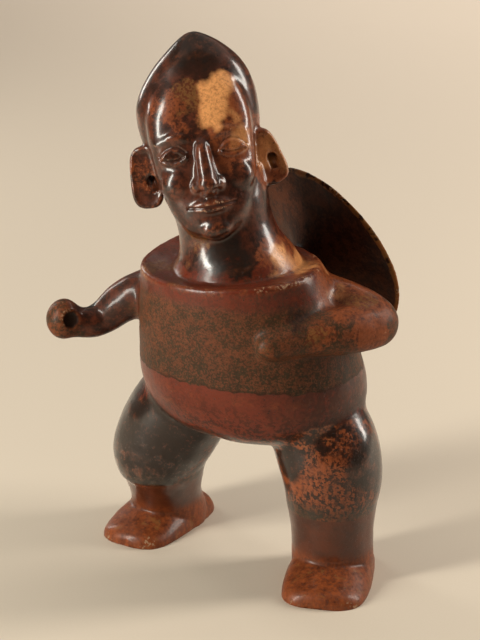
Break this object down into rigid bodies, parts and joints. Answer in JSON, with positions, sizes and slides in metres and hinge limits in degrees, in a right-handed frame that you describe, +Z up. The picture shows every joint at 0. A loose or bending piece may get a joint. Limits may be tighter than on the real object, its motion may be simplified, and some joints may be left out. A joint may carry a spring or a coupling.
{
  "type": "ceramic ball player figure",
  "caption": "Standing burnished clay ball player in mid stride, barrel torso, peaked head turned and tilted, arms out, with a round flaring plate on its back.",
  "frame": {"origin": "centre of the bounding box at the height of the soles", "axes": "+Z up, the body faces -Y and its left side is +X, with the head turned to the figure's left"},
  "size_m": [0.2534, 0.2034, 0.3999],
  "materials": {
    "burnished_clay": "burnished red-brown slip with dark fire-clouds and worn buff patches"
  },
  "bodies": {
    "root": {"figure": "burnished_clay"}
  },
  "joints": []
}
